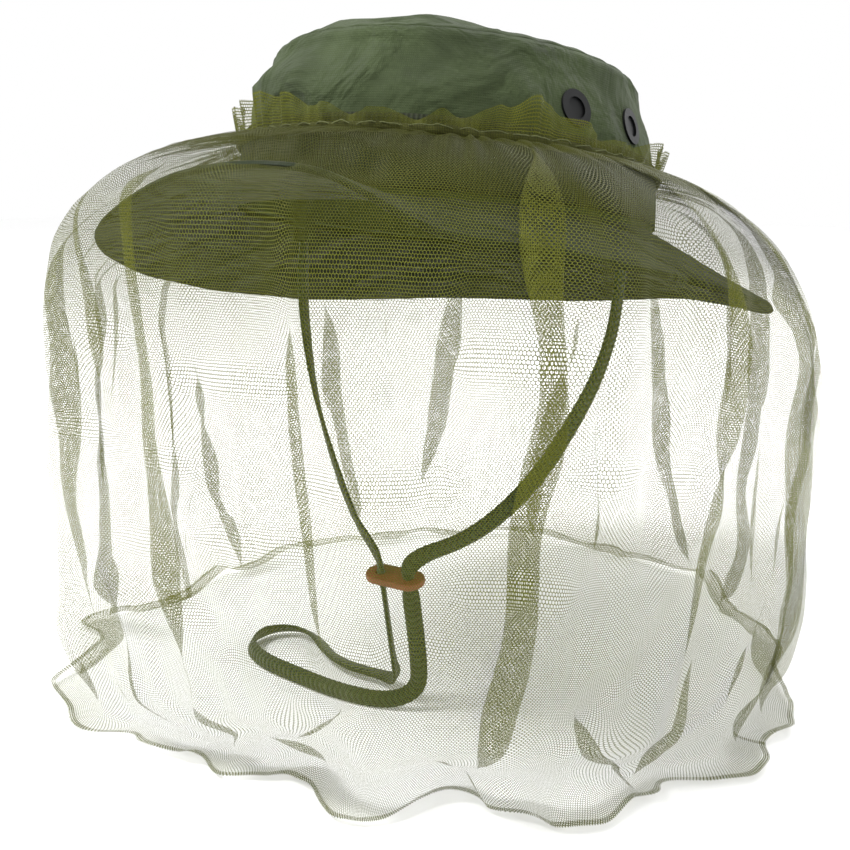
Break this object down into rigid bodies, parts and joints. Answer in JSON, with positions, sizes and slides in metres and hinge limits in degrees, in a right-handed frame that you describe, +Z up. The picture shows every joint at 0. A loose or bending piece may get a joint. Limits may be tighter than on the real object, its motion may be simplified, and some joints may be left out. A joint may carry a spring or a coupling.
{
  "type": "hat with beekeeping veil",
  "caption": "Soft brimmed cloth hat with a gathered insect net hung over its brim, a braided chin cord and a leather cord slide.",
  "frame": {"origin": "centre of the hat's head opening, at the seam between crown and brim", "axes": "-Y is the wearer's front, +X the wearer's left, +Z up; the hat sits tilted back 8 degrees about X"},
  "size_m": [0.3448, 0.3671, 0.3019],
  "materials": {
    "hat_cotton": "woven cotton ripstop",
    "brim_cotton": "woven cotton with rows of stitching",
    "sweatband_cotton": "plain woven band",
    "webbing": "ribbed webbing",
    "interlining": "stiff nonwoven",
    "vent_black": "black enamelled eyelet with a fine screen",
    "vent_washer": "plain stamped washer",
    "cord_braid": "flat cotton braid",
    "keeper_leather": "smooth tanned leather",
    "veil_net": "fine hexagonal net",
    "veil_trim": "folded and gathered net"
  },
  "bodies": {
    "hat": {"crown_tip": "hat_cotton", "crown_side_front": "hat_cotton", "crown_side_rear": "hat_cotton", "tip_seam_tape": "sweatband_cotton", "sweatband": "sweatband_cotton", "brim_top": "brim_cotton", "brim_interlining": "interlining", "brim_under": "brim_cotton", "foliage_band": "webbing", "vent_left_front": "vent_black", "vent_left_rear": "vent_black", "vent_right_front": "vent_black", "vent_right_rear": "vent_black", "vent_washers": "vent_washer", "cord_tab_left": "webbing", "cord_tab_right": "webbing"},
    "veil": {"veil_front": "veil_net", "veil_rear": "veil_net", "veil_side_seams": "veil_trim", "veil_elastic": "veil_trim", "veil_header": "veil_trim", "veil_hem": "veil_trim"},
    "chin_cord": {"chin_cord": "cord_braid"},
    "keeper": {"keeper": "keeper_leather"}
  },
  "joints": [
    {"name": "veil_lift", "type": "slide", "parent": "hat", "child": "veil", "axis": [0, 0, 1], "range_m": [0, 0.035]},
    {"name": "chin_cord_swing", "type": "hinge", "parent": "hat", "child": "chin_cord", "pos_m": [0, -0.00111, -0.00792], "axis": [1, 0, 0], "range_deg": [-10, 40]},
    {"name": "keeper_slide", "type": "slide", "parent": "chin_cord", "child": "keeper", "axis": [0, 0.1994, -0.9799], "range_m": [0, 0.04]}
  ]
}
